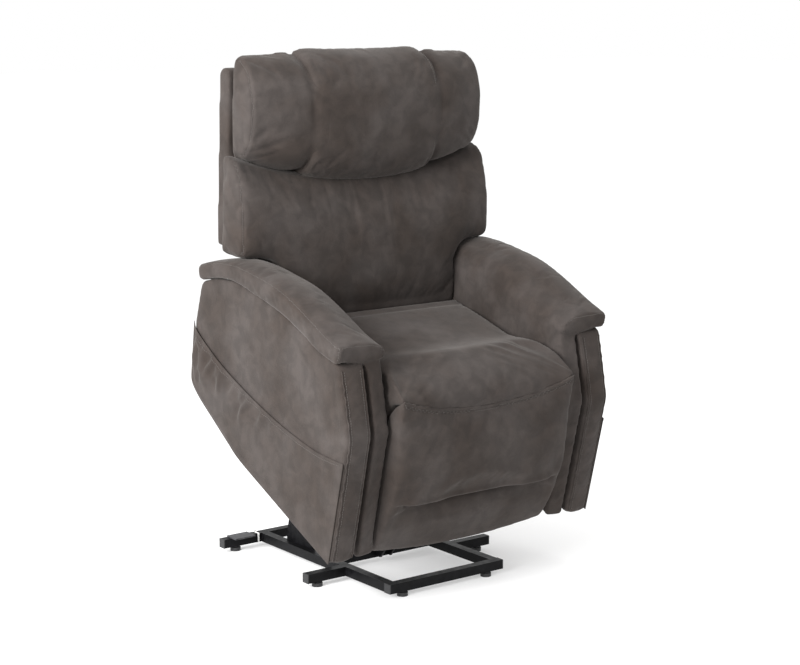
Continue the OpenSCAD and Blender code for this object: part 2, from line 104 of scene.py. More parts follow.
def add_noise(material, scale, detail=4.0, stretch=(1, 1, 1), distortion=0.0):
    """A noise texture in the object's own coordinates, in features a metre."""
    nodes = material.node_tree.nodes
    links = material.node_tree.links
    coords = nodes.new("ShaderNodeTexCoord")
    mapping = nodes.new("ShaderNodeMapping")
    mapping.inputs["Scale"].default_value = stretch
    noise = nodes.new("ShaderNodeTexNoise")
    noise.inputs["Scale"].default_value = scale
    noise.inputs["Detail"].default_value = detail
    noise.inputs["Distortion"].default_value = distortion
    links.new(coords.outputs["Object"], mapping.inputs["Vector"])
    links.new(mapping.outputs["Vector"], noise.inputs["Vector"])
    return noise.outputs["Fac"]


def add_ramp(material, value, stops):
    """A colour ramp from [(place, color), ...] driven by value."""
    ramp = material.node_tree.nodes.new("ShaderNodeValToRGB")
    elements = ramp.color_ramp.elements
    while len(elements) < len(stops):
        elements.new(0.5)
    for element, (place, color) in zip(elements, stops):
        element.position = place
        element.color = (*color, 1)
    material.node_tree.links.new(value, ramp.inputs["Fac"])
    return ramp.outputs["Color"]


def mix_colors(material, a, b, share, blend="MIX"):
    mix = material.node_tree.nodes.new("ShaderNodeMix")
    mix.data_type = "RGBA"
    mix.blend_type = blend
    links = material.node_tree.links
    if isinstance(share, float):
        mix.inputs["Factor"].default_value = share
    else:
        links.new(share, mix.inputs["Factor"])
    links.new(a, mix.inputs["A"])
    links.new(b, mix.inputs["B"])
    return mix.outputs["Result"]


def add_bump(material, shader, heights):
    """Bump from [(height, strength, distance in metres), ...], chained into the shader."""
    nodes = material.node_tree.nodes
    links = material.node_tree.links
    last = None
    for height, strength, distance in heights:
        bump = nodes.new("ShaderNodeBump")
        bump.inputs["Strength"].default_value = strength
        bump.inputs["Distance"].default_value = distance
        links.new(height, bump.inputs["Height"])
        if last is not None:
            links.new(last, bump.inputs["Normal"])
        last = bump.outputs["Normal"]
    links.new(last, shader.inputs["Normal"])


def suede_material():
    """Brushed microfibre suede: warm grey, clouded where the nap is brushed, finely grained."""
    material, shader = new_material("suede", (0.06, 0.053, 0.048), 0.92)
    broad = add_noise(material, 7.0, 4.0, (1, 1, 1), 0.3)
    cloud = add_noise(material, 26.0, 6.0, (1, 1, 1), 0.5)
    grain = add_noise(material, 900.0, 3.0)
    base = add_ramp(material, broad, [(0.36, (0.0345, 0.0262, 0.0222)), (0.64, (0.0515, 0.0430, 0.0395))])
    patch = add_ramp(material, cloud, [(0.38, (0.74, 0.74, 0.74)), (0.62, (1.0, 1.0, 1.0))])
    fleck = add_ramp(material, grain, [(0.35, (0.86, 0.86, 0.86)), (0.65, (1.0, 1.0, 1.0))])
    color = mix_colors(material, base, patch, 1.0, "MULTIPLY")
    color = mix_colors(material, color, fleck, 1.0, "MULTIPLY")
    material.node_tree.links.new(color, shader.inputs["Base Color"])
    shader.inputs["Sheen Weight"].default_value = 0.10
    shader.inputs["Sheen Roughness"].default_value = 0.45
    shader.inputs["Sheen Tint"].default_value = (0.95, 0.9, 0.86, 1)
    shader.inputs["Specular IOR Level"].default_value = 0.25
    crease = add_noise(material, 120.0, 4.0, (1, 1, 0.5), 1.2)
    add_bump(material, shader, [(grain, 0.35, 0.0006), (crease, 0.25, 0.0012)])
    return material


def thread_material():
    material, shader = new_material("thread", (0.060, 0.053, 0.048), 0.8)
    strand = add_noise(material, 1500.0, 2.0)
    color = add_ramp(material, strand, [(0.3, (0.050, 0.044, 0.040)), (0.7, (0.085, 0.075, 0.069))])
    material.node_tree.links.new(color, shader.inputs["Base Color"])
    add_bump(material, shader, [(strand, 0.4, 0.0003)])
    return material


def powder_coat_material(name="powder_coat", color=(0.0035, 0.0035, 0.004),
                         worn=(0.008, 0.008, 0.009)):
    """Satin powder coat: fine orange peel, a little dust lightening."""
    material, shader = new_material(name, color, 0.4)
    shader.inputs["Specular IOR Level"].default_value = 0.10
    dust = add_noise(material, 60.0, 6.0)
    tone = add_ramp(material, dust, [(0.42, color), (0.74, worn)])
    material.node_tree.links.new(tone, shader.inputs["Base Color"])
    rough = add_ramp(material, dust, [(0.3, (0.32, 0.32, 0.32)), (0.7, (0.48, 0.48, 0.48))])
    material.node_tree.links.new(rough, shader.inputs["Roughness"])
    peel = add_noise(material, 700.0, 2.0)
    add_bump(material, shader, [(peel, 0.15, 0.0004)])
    return material


def plastic_material(name, color, roughness=0.55):
    """Moulded plastic with a fine spark-eroded texture."""
    material, shader = new_material(name, color, roughness)
    grain = add_noise(material, 1100.0, 3.0)
    tone = add_ramp(material, grain, [(0.3, [c * 0.85 for c in color]), (0.7, [c * 1.2 for c in color])])
    material.node_tree.links.new(tone, shader.inputs["Base Color"])
    add_bump(material, shader, [(grain, 0.3, 0.0004)])
    return material


def metal_material(name, color, roughness, stretch=(1, 1, 1)):
    """Bright metal with drawn or ground lines along one direction."""
    material, shader = new_material(name, color, roughness, 1.0)
    lines = add_noise(material, 600.0, 4.0, stretch)
    rough = add_ramp(material, lines, [(0.3, (roughness * 0.8,) * 3), (0.7, (roughness * 1.3,) * 3)])
    material.node_tree.links.new(rough, shader.inputs["Roughness"])
    add_bump(material, shader, [(lines, 0.12, 0.0003)])
    return material


def plywood_material():
    """Plywood: long grain streaks and a darker ply figure."""
    material, shader = new_material("plywood", (0.45, 0.31, 0.18), 0.6)
    streak = add_noise(material, 30.0, 8.0, (1, 0.12, 6), 1.5)
    tone = add_ramp(material, streak, [(0.3, (0.34, 0.22, 0.12)), (0.7, (0.55, 0.40, 0.25))])
    material.node_tree.links.new(tone, shader.inputs["Base Color"])
    add_bump(material, shader, [(streak, 0.2, 0.0006)])
    return material


SUEDE = suede_material()
THREAD = thread_material()
CAD_MATERIALS = {
    "black_steel": powder_coat_material(),
    "bright_steel": metal_material("bright_steel", (0.62, 0.61, 0.60), 0.28, (1, 1, 0.1)),
    "spring_wire": metal_material("spring_wire", (0.30, 0.30, 0.31), 0.4),
    "black_plastic": plastic_material("black_plastic", (0.014, 0.014, 0.015)),
    "motor_housing": plastic_material("motor_housing", (0.022, 0.022, 0.024), 0.6),
    "actuator_tube": metal_material("actuator_tube", (0.10, 0.10, 0.11), 0.45),
    "rear_plate": powder_coat_material("rear_plate", (0.035, 0.035, 0.038), (0.08, 0.08, 0.085)),
    "cable_tie": plastic_material("cable_tie", (0.80, 0.80, 0.78), 0.45),
    "plywood": plywood_material(),
    "upholstery": SUEDE,
}
# Boards whose edges show between the cushions are wrapped in the cover's cloth
WRAPPED = ["back_board", "footrest_board"]
for row in frame["record"]["subparts"]:
    mesh = frame["nodes"][row["node"]].data
    mesh.materials.clear()
    mesh.materials.append(SUEDE if row["node"] in WRAPPED else CAD_MATERIALS[row["material_slot"]])


# ---- Curves and solids --------------------------------------------------------------------
def rounded_outline(points, radius, steps=5):
    """A closed outline with each corner turned on an arc, at most half of its shorter side."""
    result = []
    count = len(points)
    for i in range(count):
        before = Vector(points[i - 1])
        corner = Vector(points[i])
        after = Vector(points[(i + 1) % count])
        to_before = before - corner
        to_after = after - corner
        reach = min(radius, to_before.length * 0.45, to_after.length * 0.45)
        start = corner + to_before.normalized() * reach
        end = corner + to_after.normalized() * reach
        for k in range(steps + 1):
            t = k / steps
            result.append(start * (1 - t) ** 2 + corner * 2 * t * (1 - t) + end * t * t)
    return result


def smooth_line(points, per_span=8):
    """A curve through the points (Catmull-Rom), as a list of vectors."""
    pts = [Vector(p) for p in points]
    pts = [pts[0] * 2 - pts[1]] + pts + [pts[-1] * 2 - pts[-2]]
    result = []
    for i in range(1, len(pts) - 2):
        a, b, c, d = pts[i - 1:i + 3]
        for k in range(per_span):
            t = k / per_span
            result.append(0.5 * ((b * 2) + (c - a) * t + (a * 2 - b * 5 + c * 4 - d) * t * t
                                 + (b * 3 - a - c * 3 + d) * t ** 3))
    result.append(pts[-2])
    return result


def even_points(points, spacing):
    """Points along a line at an even spacing."""
    pts = [Vector(p) for p in points]
    gaps = [(b - a).length for a, b in zip(pts, pts[1:])]
    total = sum(gaps)
    count = max(2, int(total / spacing) + 1)
    result = []
    i = 0
    done = 0.0
    for k in range(count):
        want = total * k / (count - 1)
        while i < len(gaps) - 1 and done + gaps[i] < want:
            done += gaps[i]
            i += 1
        t = (want - done) / gaps[i] if gaps[i] else 0
        result.append(pts[i].lerp(pts[i + 1], min(max(t, 0), 1)))
    return result


def loft(rings):
    """A closed solid through rings of points, each ring closed, with flat ends."""
    verts = [p for ring in rings for p in ring]
    n = len(rings[0])
    faces = []
    for r in range(len(rings) - 1):
        for i in range(n):
            j = (i + 1) % n
            faces.append((r * n + i, r * n + j, (r + 1) * n + j, (r + 1) * n + i))
    faces.append(tuple(reversed(range(n))))
    faces.append(tuple(range((len(rings) - 1) * n, len(rings) * n)))
    return verts, faces


def slab(x0, x1, outline, crown=0.0, steps=24):
    """A side outline, (y, z) points, extruded across from x0 to x1; crown swells the middle."""
    middle = sum((Vector(p) for p in outline), Vector((0, 0))) / len(outline)
    rings = []
    for k in range(steps + 1):
        t = k / steps
        grow = crown * (1 - (2 * t - 1) ** 2)
        ring = []
        for p in outline:
            out = Vector(p) - middle
            at = Vector(p) + out.normalized() * grow
            ring.append(Vector((x0 + (x1 - x0) * t, at.x, at.y)))
        rings.append(ring)
    return loft(rings)


def mirrored(part):
    verts, faces = part
    return [Vector((-v.x, v.y, v.z)) for v in verts], [tuple(reversed(f)) for f in faces]


def mesh_from(name, parts, place=Matrix.Identity(4)):
    """One mesh object of several closed solids, carried to the row frame by place."""
    verts = []
    faces = []
    for part_verts, part_faces in parts:
        start = len(verts)
        verts += [place @ Vector(v) for v in part_verts]
        faces += [tuple(i + start for i in f) for f in part_faces]
    mesh = bpy.data.meshes.new(name)
    mesh.from_pydata(verts, [], faces)
    obj = bpy.data.objects.new(name, mesh)
    bpy.context.scene.collection.objects.link(obj)
    fix_normals(mesh)
    return obj


def fix_normals(mesh):
    work = bmesh.new()
    work.from_mesh(mesh)
    bmesh.ops.recalc_face_normals(work, faces=work.faces)
    work.to_mesh(mesh)
    work.free()


def bake_modifiers(obj):
    """Replaces the mesh by what its modifiers make of it, and removes them."""
    graph = bpy.context.evaluated_depsgraph_get()
    made = bpy.data.meshes.new_from_object(obj.evaluated_get(graph))
    old = obj.data
    obj.modifiers.clear()
    obj.data = made
    bpy.data.meshes.remove(old)


def voxel_remesh(obj, size):
    remesh = obj.modifiers.new("remesh", "REMESH")
    remesh.mode = "VOXEL"
    remesh.voxel_size = size
    bake_modifiers(obj)


def coords(obj):
    co = np.zeros(len(obj.data.vertices) * 3)
    obj.data.vertices.foreach_get("co", co)
    return co.reshape(-1, 3)


def set_coords(obj, co):
    obj.data.vertices.foreach_set("co", np.ascontiguousarray(co, np.float32).ravel())
    obj.data.update()


def to_frame(co, place):
    """World points as points in the frame of place."""
    into = np.array(place.inverted())
    return co @ into[:3, :3].T + into[:3, 3]


def from_frame(local, place):
    """Points in the frame of place as world points."""
    out = np.array(place)
    return local @ out[:3, :3].T + out[:3, 3]


def edge_array(obj):
    edges = np.zeros(len(obj.data.edges) * 2, np.int64)
    obj.data.edges.foreach_get("vertices", edges)
    return edges.reshape(-1, 2)


def relax(obj, rounds, share=0.5, hold=None):
    """Laplacian smoothing, which rounds the edges; hold is 1 where a point stays."""
    co = coords(obj)
    edges = edge_array(obj)
    count = len(co)
    degree = np.bincount(edges.ravel(), minlength=count)[:, None]
    free = share * (1 if hold is None else (1 - hold)[:, None])
    for _ in range(rounds):
        total = np.zeros_like(co)
        for axis in range(3):
            total[:, axis] = (np.bincount(edges[:, 0], co[edges[:, 1], axis], count)
                              + np.bincount(edges[:, 1], co[edges[:, 0], axis], count))
        co = co + free * (total / np.maximum(degree, 1) - co)
    set_coords(obj, co)


def normals(obj):
    n = np.zeros(len(obj.data.vertices) * 3)
    obj.data.vertices.foreach_get("normal", n)
    return n.reshape(-1, 3)


def tree_of(obj):
    graph_mesh = obj.data
    co = [v.co.copy() for v in graph_mesh.vertices]
    return BVHTree.FromPolygons(co, [tuple(p.vertices) for p in graph_mesh.polygons])


def on_surface(tree, points):
    """Each point's nearest place on the surface, with the normal there."""
    result = []
    for p in points:
        place, normal, _, _ = tree.find_nearest(p)
        result.append((place, normal))
    return result


def distance_to(points, co):
    """Distance from each coordinate to the nearest of the points."""
    best = np.full(len(co), 9.0)
    for p in points:
        best = np.minimum(best, np.linalg.norm(co - np.array(p), axis=1))
    return best


# ---- Padded pieces ------------------------------------------------------------------------
SIM_FRAMES = 20


def start_pad(name, parts, place, voxel, rounds=3):
    """The cut shape of a padded piece: solids joined by a voxel remesh, their edges rounded."""
    pad = mesh_from(name, parts, place)
    voxel_remesh(pad, voxel)
    relax(pad, rounds)
    return pad


def seam_points(pad, lines, place, spacing=0.004):
    """Seam lines laid on the pad's surface, as lists of (point, normal)."""
    tree = tree_of(pad)
    return [on_surface(tree, [place @ p for p in even_points(line, spacing)]) for line in lines]


def seam_pins(pad, lines, place, radius=0.006):
    """Weight 1 on the cloth within radius of a seam."""
    near = np.full(len(pad.data.vertices), np.inf)
    for seam in seam_points(pad, lines, place):
        near = np.minimum(near, distance_to([p for p, _ in seam], coords(pad)))
    return (near < radius).astype(float)


def held_where(pad, place, test):
    """Weight 1 where test, on x, y and z arrays in the frame of place, is true."""
    return test(*to_frame(coords(pad), place).T).astype(float)


def inflate_together(jobs):
    """Cloth pressure on every pad at once. A job is (pad, pinned weights, pressure, spare, cap)."""
    starts = {}
    for pad, pinned, pressure, spare, cap in jobs:
        starts[pad.name] = coords(pad)
        group = pad.vertex_groups.new(name="pinned")
        for i in np.nonzero(pinned > 0.01)[0]:
            group.add([int(i)], float(pinned[i]), "REPLACE")
        cloth = pad.modifiers.new("cloth", "CLOTH")
        settings = cloth.settings
        settings.quality = 4
        settings.mass = 0.3
        settings.tension_stiffness = 12
        settings.compression_stiffness = 12
        settings.shear_stiffness = 5
        settings.bending_stiffness = 0.6
        settings.tension_damping = 12
        settings.compression_damping = 12
        settings.use_pressure = True
        settings.uniform_pressure_force = pressure
        settings.shrink_min = -spare
        settings.vertex_group_mass = "pinned"
        settings.effector_weights.gravity = 0
        cloth.collision_settings.use_collision = False
        cloth.collision_settings.use_self_collision = False
        cloth.point_cache.frame_end = SIM_FRAMES
    scene = bpy.context.scene
    for frame_number in range(1, SIM_FRAMES + 1):
        scene.frame_set(frame_number)
    graph = bpy.context.evaluated_depsgraph_get()
    for pad, pinned, pressure, spare, cap in jobs:
        held = pad.evaluated_get(graph)
        mesh = held.to_mesh()
        co = np.zeros(len(mesh.vertices) * 3)
        mesh.vertices.foreach_get("co", co)
        held.to_mesh_clear()
        move = co.reshape(-1, 3) - starts[pad.name]
        length = np.linalg.norm(move, axis=1, keepdims=True)
        soft_cap = cap * np.tanh(length / cap)
        move = move * soft_cap / np.maximum(length, 1e-9)
        pad.modifiers.clear()
        set_coords(pad, starts[pad.name] + move)
        pad.vertex_groups.clear()
    scene.frame_set(1)


def subdivide(obj):
    sub = obj.modifiers.new("subdivision", "SUBSURF")
    sub.levels = 1
    sub.render_levels = 1
    bake_modifiers(obj)


def press_seams(pad, seams, depth=0.003, width=0.0045):
    """Draws the surface in along each seam."""
    co = coords(pad)
    n = normals(pad)
    for seam in seams:
        near = distance_to([p for p, _ in seam], co)
        co = co - n * (depth * np.exp(-(near / width) ** 2))[:, None]
    set_coords(pad, co)


def shade_smooth(obj):
    obj.data.polygons.foreach_set("use_smooth", [True] * len(obj.data.polygons))


def tube_mesh(name, lines, radius, sides=8):
    """Thin round cords along lines of points, for welts and piping."""
    verts = []
    faces = []
    for line in lines:
        start = len(verts)
        for i, p in enumerate(line):
            ahead = line[min(i + 1, len(line) - 1)] - line[max(i - 1, 0)]
            along = ahead.normalized()
            side = along.orthogonal().normalized() if i == 0 else (side - along * side.dot(along))
            side = side.normalized()
            other = along.cross(side)
            for k in range(sides):
                turn = 2 * math.pi * k / sides
                verts.append(p + (side * math.cos(turn) + other * math.sin(turn)) * radius)
        rings = len(line)
        for r in range(rings - 1):
            for k in range(sides):
                j = (k + 1) % sides
                faces.append((start + r * sides + k, start + r * sides + j,
                              start + (r + 1) * sides + j, start + (r + 1) * sides + k))
        faces.append(tuple(start + k for k in reversed(range(sides))))
        faces.append(tuple(start + (rings - 1) * sides + k for k in range(sides)))
    mesh = bpy.data.meshes.new(name)
    mesh.from_pydata(verts, [], faces)
    obj = bpy.data.objects.new(name, mesh)
    bpy.context.scene.collection.objects.link(obj)
    fix_normals(mesh)
    shade_smooth(obj)
    return obj


STITCH_PITCH = 0.0065
STITCH_LENGTH = 0.0044


def stitch_mesh(name, seams, radius=0.0008):
    """Rows of single thread stitches lying on a surface; seams are lists of (point, normal)."""
    ring = 5
    verts = []
    faces = []
    for seam in seams:
        points = even_points([p for p, _ in seam], STITCH_PITCH / 2)
        for k in range(0, len(points) - 1, 2):
            a = points[k]
            b = points[k + 1]
            normal = seam[min(int(k / max(len(points) - 1, 1) * len(seam)), len(seam) - 1)][1]
            along = (b - a).normalized()
            side = normal.cross(along).normalized()
            middle = (a + b) / 2 + normal * radius * 0.3
            start = len(verts)
            for shift, size in ((-0.5, 0.35), (-0.3, 1.0), (0.3, 1.0), (0.5, 0.35)):
                at = middle + along * STITCH_LENGTH * shift
                for i in range(ring):
                    turn = 2 * math.pi * i / ring
                    verts.append(at + (side * math.cos(turn) + normal * math.sin(turn))
                                 * radius * size)
            for r in range(3):
                for i in range(ring):
                    j = (i + 1) % ring
                    faces.append((start + r * ring + i, start + r * ring + j,
                                  start + (r + 1) * ring + j, start + (r + 1) * ring + i))
            faces.append(tuple(start + i for i in reversed(range(ring))))
            faces.append(tuple(start + 3 * ring + i for i in range(ring)))
    mesh = bpy.data.meshes.new(name)
    mesh.from_pydata(verts, [], faces)
    obj = bpy.data.objects.new(name, mesh)
    bpy.context.scene.collection.objects.link(obj)
    fix_normals(mesh)
    shade_smooth(obj)
    return obj


def finish_pad(pad, body, nodes, seams=(), stitches=(), place=CHAIR, depth=0.003,
               blend=None):
    """Subdivides a pad, presses and stitches its seams, and puts it on its body, or, given blend, leaves
    it unparented where it stands.
    """
    subdivide(pad)
    shade_smooth(pad)
    if seams:
        laid = seam_points(pad, seams, place)
        press_seams(pad, laid, depth)
    pad.data.materials.clear()
    pad.data.materials.append(SUEDE)
    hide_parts(*nodes)
    extra = None
    if stitches:
        extra = stitch_mesh(pad.name + "_stitches", seam_points(pad, stitches, place))
        extra.data.materials.append(THREAD)
    for obj in (pad, extra):
        if obj is None:
            continue
        if blend:
            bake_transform(obj)
        else:
            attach(obj, body)


def ease(t):
    t = min(max(t, 0.0), 1.0)
    return t * t * (3 - 2 * t)


# ---- Head pillow and its band -------------------------------------------------------------
PILLOW_HALF = 0.379
PILLOW_REAR = 0.084
BAND_HALF = 0.203


def pillow_ring(x, grow=0.0):
    """The pillow's section at x: flat behind, a belly in front that is fullest in the middle."""
    across = min(abs(x) / PILLOW_HALF, 1.0)
    groove = 0.007 * math.exp(-((abs(x) - BAND_HALF - 0.004) / 0.010) ** 2) if grow == 0 else 0
    low = 0.188 + 0.060 * across ** 2.2 - grow + groove
    high = 0.516 - 0.004 * across ** 6 + grow - groove
    end = max(0.0, (abs(x) - PILLOW_HALF + 0.024) / 0.024) ** 2
    low += 0.008 * end
    high -= 0.012 * end
    belly = 0.134 - 0.040 * across ** 2.2 + grow - groove
    middle = (low + high) / 2 - 0.01
    points = [(0.030, high), (0.70 * belly, high - 0.028), (0.94 * belly, high - 0.085),
              (belly, middle), (0.94 * belly, low + 0.055), (0.66 * belly, low + 0.010),
              (0.030, low), (0.0, low + 0.02), (0.0, high - 0.02)]
    ring = smooth_line([(-(PILLOW_REAR + out), z) for out, z in points + points[:1]], 7)[:-1]
    return [Vector((x, p.x, p.y)) for p in ring]


def build_head_pillow():
    xs = np.linspace(-PILLOW_HALF, PILLOW_HALF, 90)
    return start_pad("head_pillow_cover", [loft([pillow_ring(x) for x in xs])], BACK, 0.007)


def pillow_end_seam(side):
    """The seam between the pillow's front and its end panel."""
    ring = pillow_ring(side * (PILLOW_HALF - 0.001))
    front = [p for p in ring if -p.y > PILLOW_REAR + 0.02]
    front.sort(key=lambda p: p.z)
    return front


def build_head_band():
    xs = np.linspace(-BAND_HALF, BAND_HALF, 50)
    rings = [pillow_ring(x, 0.006 - 0.0045 * (abs(x) / BAND_HALF) ** 16) for x in xs]
    return start_pad("head_band_cover", [loft(rings)], BACK, 0.007)


def band_edge(x):
    ring = pillow_ring(x, 0.006)
    front = [p for p in ring if -p.y > PILLOW_REAR + 0.012]
    front.sort(key=lambda p: p.z)
    return front


# ---- Lower back cushion -------------------------------------------------------------------
WING_HALF = 0.410


LUMBAR_LOW = 0.283
# Depth of the cushion's face up the back, in the middle and at the wings' ends
FACE_MIDDLE = [(-0.188, 0.214), (-0.10, 0.217), (-0.03, 0.216), (0.05, 0.209), (0.11, 0.200),
               (0.16, 0.186), (0.20, 0.164), (0.24, 0.130)]
FACE_END = [(-0.185, 0.200), (0.03, 0.194), (0.116, 0.191), (0.18, 0.176), (0.238, 0.156),
            (0.26, 0.145)]


def face_depth(table, z):
    return float(np.interp(z, [row[0] for row in table], [row[1] for row in table]))


def lumbar_low(x):
    """The cushion's lower edge: level under the wings, rounded in to the narrow lower part."""
    past = (abs(x) - LUMBAR_LOW) / 0.070
    if past <= 0:
        return -0.188
    past = min(past, 1.0)
    return -0.072 + 0.068 * math.sqrt(1 - (1 - past) ** 2)


def lumbar_ring(x, steps=26):
    across = min(abs(x) / WING_HALF, 1.0)
    low = lumbar_low(x)
    top = 0.192 + 0.070 * across ** 2.2
    end = max(0.0, (abs(x) - WING_HALF + 0.020) / 0.020)
    low += 0.010 * end ** 2
    top -= 0.006 * end ** 2
    rear = 0.086
    ring = [Vector((x, -rear, low)), Vector((x, -rear, top))]
    for k in range(steps + 1):
        z = top + (low - top) * k / steps
        depth = (face_depth(FACE_MIDDLE, z) * (1 - across ** 3)
                 + face_depth(FACE_END, z) * across ** 3)
        from_top = (top - z) / 0.034
        from_low = (z - low) / (0.006 if abs(x) <= LUMBAR_LOW else 0.028)
        for edge, reach in ((from_top, 0.036), (from_low, 0.016)):
            short = 1 - min(max(edge, 0.0), 1.0)
            depth -= reach * (1 - math.sqrt(1 - short ** 2))
        ring.append(Vector((x, -depth, z)))
    return ring


def build_lumbar():
    near = np.linspace(0, LUMBAR_LOW, 30)
    far = LUMBAR_LOW + 0.0005 + (WING_HALF - LUMBAR_LOW - 0.0005) * np.linspace(0, 1, 26) ** 1.5
    half = list(near) + list(far)
    xs = [-x for x in reversed(half[1:])] + half
    return start_pad("lumbar_cover", [loft([lumbar_ring(x) for x in xs])], BACK, 0.0075)


def wing_seam(side):
    x = side * (WING_HALF - 0.001)
    front = [p for p in lumbar_ring(x) if -p.y > 0.125]
    front.sort(key=lambda p: p.z)
    return front


# ---- Seat and footrest --------------------------------------------------------------------
SEAT_HALF = 0.281
RETURN = 0.020


def roll_seam_z(x):
    """Height of the seam under the seat's front roll: lowest in the middle."""
    return 0.418 + 0.050 * (abs(x) / SEAT_HALF) ** 2.4


def seat_ring(x):
    crown = 1 - (abs(x) / SEAT_HALF) ** 4
    seam = roll_seam_z(x)
    outline = [(0.188, 0.345), (0.201, 0.379), (0.120, 0.393 + 0.006 * crown),
               (0.000, 0.417 + 0.008 * crown), (-0.100, 0.437 + 0.008 * crown),
               (-0.140, 0.455 + 0.008 * crown), (-0.190, 0.480 + 0.012 * crown),
               (-0.240, 0.488 + 0.012 * crown), (-0.285, 0.480 + 0.010 * crown),
               (-0.311, max(seam + 0.006, 0.462)), (-0.320, max(seam, 0.436)),
               (-0.321, seam - 0.004), (-0.306, seam - 0.016), (-0.270, 0.424), (-0.266, 0.354),
               (-0.240, 0.345)]
    return [Vector((x, p.x, p.y)) for p in rounded_outline(outline, 0.016, 3)]


def build_seat():
    xs = np.linspace(-SEAT_HALF, SEAT_HALF, 60)
    return start_pad("seat_cover", [loft([seat_ring(x) for x in xs])], CHAIR, 0.0075)


# The channel under the seat for the footrest motor's rod
CHANNEL_X = -0.100
CHANNEL_HALF = 0.022
CHANNEL_FRONT = -0.345
CHANNEL_REAR = -0.100
CHANNEL_TOP = 0.381


def cut_channel(pad):
    """Lifts the underside of the seat along the footrest motor's rod."""
    local = to_frame(coords(pad), CHAIR)
    x, y, z = local.T
    inside = (np.abs(x - CHANNEL_X) < CHANNEL_HALF) & (y > CHANNEL_FRONT) & (y < CHANNEL_REAR)
    local[:, 2] = np.where(inside, np.maximum(z, CHANNEL_TOP), z)
    set_coords(pad, from_frame(local, CHAIR))


# The crease across the legrest
CREASE_HALF = 0.262
CREASE_DEEPEST = -0.352      # y that the tucked cloth never passes
PANEL_STEP = 0.024           # how far the lower panel sits back at the crease
PANEL_LIP = 0.007            # how far the upper panel stands out over it


def crease_z(x):
    """Height of the bottom of the crease: lowest in the middle."""
    return 0.176 + 0.012 * (abs(x) / SEAT_HALF) ** 2


def foot_ring(x):
    """The legrest at x: a full upper panel, a tucked crease, and a flat panel under it. Its
    ends turn back as side returns, and the crease runs out before it reaches them."""
    across = min(abs(x) / SEAT_HALF, 1.0)
    crown = 1 - across ** 3
    seam = roll_seam_z(x)
    tuck = max(0.0, 1 - (abs(x) / CREASE_HALF) ** 6)
    low = 0.013 + 0.024 * across ** 2
    crease = crease_z(x)
    outline = [(-0.312, seam - 0.002), (-0.3215, seam + 0.008), (-0.327, seam - 0.026),
               (-0.344 - 0.005 * crown, min(0.372, seam - 0.045)), (-0.364 - 0.008 * crown, 0.310),
               (-0.383 - 0.007 * crown, 0.245), (-0.388 - 0.004 * tuck, 0.210),
               (-0.388 - 0.004 * tuck, crease + 0.011), (-0.387 + 0.032 * tuck, crease),
               (-0.387 + 0.008 * tuck, crease - 0.010), (-0.386 + 0.001 * tuck, 0.120),
               (-0.379, 0.070), (-0.371, low + 0.008), (-0.364, low)]
    if abs(x) > SEAT_HALF - RETURN:
        outline += [(-0.305, low + 0.012), (-0.300, 0.1875), (-0.284, 0.330), (-0.278, 0.400),
                    (-0.290, 0.430)]
    else:
        outline += [(-0.345, low + 0.004), (-0.350, 0.120), (-0.347, crease), (-0.334, 0.330),
                    (-0.318, 0.398)]
    return [Vector((x, p.x, p.y)) for p in rounded_outline(outline, 0.008, 3)]


def tuck_crease(pad):
    """Sets the lower panel back under the upper one, which stands out over it as a lip."""
    local = to_frame(coords(pad), CHAIR)
    x, y, z = local.T
    under = crease_z(x) + 0.007 - z
    front = y < CREASE_DEEPEST
    share = np.clip(1 - (np.abs(x) / CREASE_HALF) ** 8, 0, 1) * front
    back = np.where(under > 0, np.exp(-under / 0.032), np.exp(-(under / 0.002) ** 2))
    lip = np.where(under < 0, np.exp(-((under + 0.010) / 0.010) ** 2), 0.0)
    moved = y + share * (PANEL_STEP * back - PANEL_LIP * lip)
    local[:, 1] = np.where(front, np.minimum(moved, CREASE_DEEPEST), y)
    set_coords(pad, from_frame(local, CHAIR))


def crease_line():
    """The bottom of the crease, as far as the cloth is held there."""
    return [Vector((x, -0.358, crease_z(x))) for x in np.linspace(-0.235, 0.235, 40)]


def roll_stitch_line():
    """The topstitching under the seam of the seat's front roll."""
    return [Vector((x, -0.330, roll_seam_z(x) - 0.008)) for x in np.linspace(-0.276, 0.276, 40)]


def with_returns(ring):
    """A panel lofted across the chair, and a thicker end on each side for its return."""
    inner = SEAT_HALF - RETURN
    parts = [loft([ring(x) for x in np.linspace(-inner, inner, 60)])]
    for side in (-1, 1):
        parts.append(loft([ring(side * x) for x in np.linspace(inner + 0.0005, SEAT_HALF, 8)]))
    return parts


def build_footrest():
    return start_pad("footrest_cover", with_returns(foot_ring), CHAIR, 0.006)


# ---- Arms ---------------------------------------------------------------------------------
ARM_UNDER_CAP = [(-0.214, 0.530), (-0.191, 0.526), (-0.134, 0.518), (-0.041, 0.514),
                 (0.054, 0.508), (0.148, 0.494), (0.266, 0.468), (0.354, 0.423), (0.404, 0.386)]
CAP_LINE = [(-0.2225, 0.541), (-0.212, 0.529)] + ARM_UNDER_CAP[1:]
CAP_THICK = [0.036, 0.045, 0.047, 0.053, 0.059, 0.061, 0.055, 0.046, 0.042, 0.041]
ARM_BOTTOM = [(-0.390, 0.045), (0.056, 0.043), (0.170, 0.061), (0.290, 0.082), (0.337, 0.099)]
ARM_REAR = [(0.350, 0.117), (0.395, 0.265), (0.410, 0.378)]
ARM_KNEE = (-0.322, 0.381)
ARM_OUTLINE = ARM_BOTTOM + ARM_REAR + list(reversed(ARM_UNDER_CAP[1:-1])) + [(-0.214, 0.528), ARM_KNEE]


